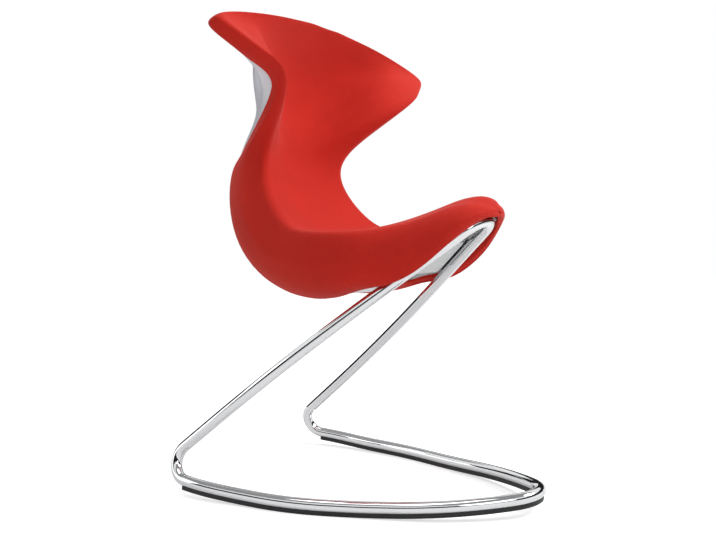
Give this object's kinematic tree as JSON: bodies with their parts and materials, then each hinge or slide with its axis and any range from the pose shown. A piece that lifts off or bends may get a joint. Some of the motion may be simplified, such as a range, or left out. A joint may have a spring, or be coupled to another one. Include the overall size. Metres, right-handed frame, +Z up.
{
  "type": "rocking lounge chair",
  "caption": "Rocking lounge chair with a red upholstered saddle seat, a winged back, a white rear shell and a bent chrome tube frame.",
  "frame": {"origin": "on the floor under the middle of the chair's bounding box", "axes": "+Z up, the sitter faces -Y, +X to the sitter's left"},
  "size_m": [0.665, 0.6098, 0.8238],
  "materials": {
    "chrome_tube": "polished",
    "plain_steel": "satin",
    "black_plastic": "matt",
    "white_plastic": "satin",
    "grey_plastic": "satin",
    "core_plastic": "matt",
    "red_fabric": "knitted wool",
    "foam": "open cell"
  },
  "bodies": {
    "root": {"frame_tube": "chrome_tube", "joint_sleeve": "plain_steel", "right_glide_strip": "black_plastic", "left_glide_strip": "black_plastic", "glide_pins": "black_plastic", "back_shell": "white_plastic", "seat_cover": "red_fabric", "seat_foam": "foam", "core_shell": "core_plastic", "recess_pan": "grey_plastic", "mounting_plate": "plain_steel", "cover_plate": "grey_plastic", "mounting_screws": "plain_steel", "threaded_inserts": "plain_steel"}
  },
  "joints": []
}
